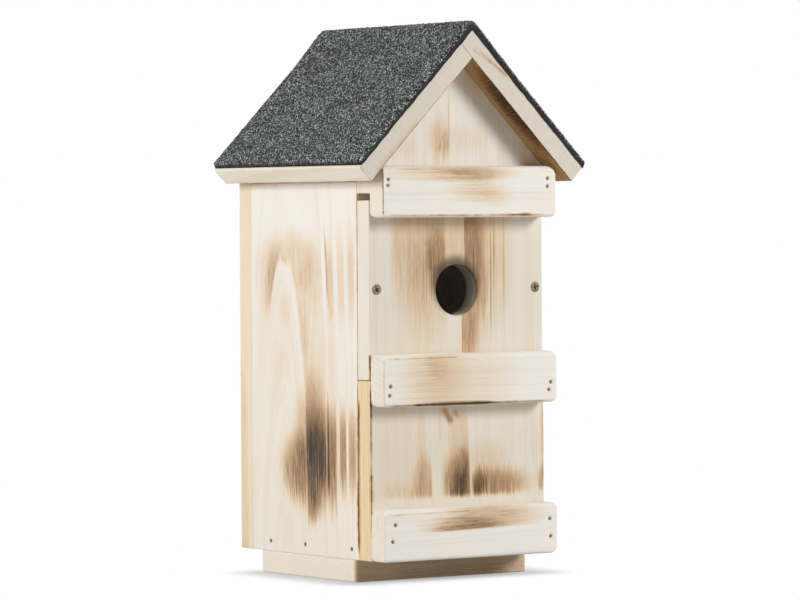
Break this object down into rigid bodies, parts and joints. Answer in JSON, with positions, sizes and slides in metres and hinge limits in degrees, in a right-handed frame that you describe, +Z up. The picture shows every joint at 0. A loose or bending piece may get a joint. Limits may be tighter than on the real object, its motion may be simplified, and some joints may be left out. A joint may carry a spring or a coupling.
{
  "type": "bird nest box",
  "caption": "Wooden bird nest box with a felted gable roof, a round entrance hole, slatted front and a front panel that slides out sideways for cleaning.",
  "frame": {"origin": "under the middle of the whole box, on the surface that it stands on", "axes": "+Z up, -Y out of the front with the entrance hole, +Y to the back, +X to the box's right as seen from the front"},
  "size_m": [0.1774, 0.165, 0.3462],
  "materials": {
    "front_pine": "whitewashed and torch-scorched pine, matt",
    "side_pine": "whitewashed and torch-scorched pine, matt",
    "back_pine": "pale bare pine, matt",
    "slat_pine": "whitewashed pine with eased edges, matt",
    "roof_pine": "whitewashed pine with bare end grain, matt",
    "inner_pine": "bare sawn pine, matt",
    "roofing_felt": "bitumen sheet with slate granules, matt",
    "nail_steel": "dull bright-steel nails",
    "screw_steel": "zinc-plated",
    "hanger_steel": "galvanised sheet"
  },
  "bodies": {
    "case": {"back_panel": "back_pine", "left_side_panel": "side_pine", "right_side_panel": "side_pine", "floor_board": "inner_pine", "base_plate": "inner_pine", "gable_board": "front_pine", "lower_front_panel": "front_pine", "upper_slat": "slat_pine", "middle_slat": "slat_pine", "lower_slat": "slat_pine", "left_roof_board": "roof_pine", "right_roof_board": "roof_pine", "roofing_felt": "roofing_felt", "upper_slat_nails": "nail_steel", "middle_slat_nails": "nail_steel", "lower_slat_nails": "nail_steel", "left_floor_nails": "nail_steel", "right_floor_nails": "nail_steel", "back_panel_nails": "nail_steel", "left_roof_nails": "nail_steel", "right_roof_nails": "nail_steel", "ridge_nails": "nail_steel", "base_plate_screws": "screw_steel", "hanger_plate": "hanger_steel", "hanger_screws": "screw_steel"},
    "front": {"front_panel": "front_pine"},
    "left_screw": {"left_panel_screw": "screw_steel"},
    "right_screw": {"right_panel_screw": "screw_steel"}
  },
  "joints": [
    {"name": "front_panel_slide", "type": "slide", "parent": "case", "child": "front", "axis": [1, 0, 0], "range_m": [-0.14, 0.14]},
    {"name": "left_screw_out", "type": "slide", "parent": "front", "child": "left_screw", "axis": [0, -1, 0], "range_m": [0, 0.03]},
    {"name": "right_screw_out", "type": "slide", "parent": "front", "child": "right_screw", "axis": [0, -1, 0], "range_m": [0, 0.03]}
  ]
}
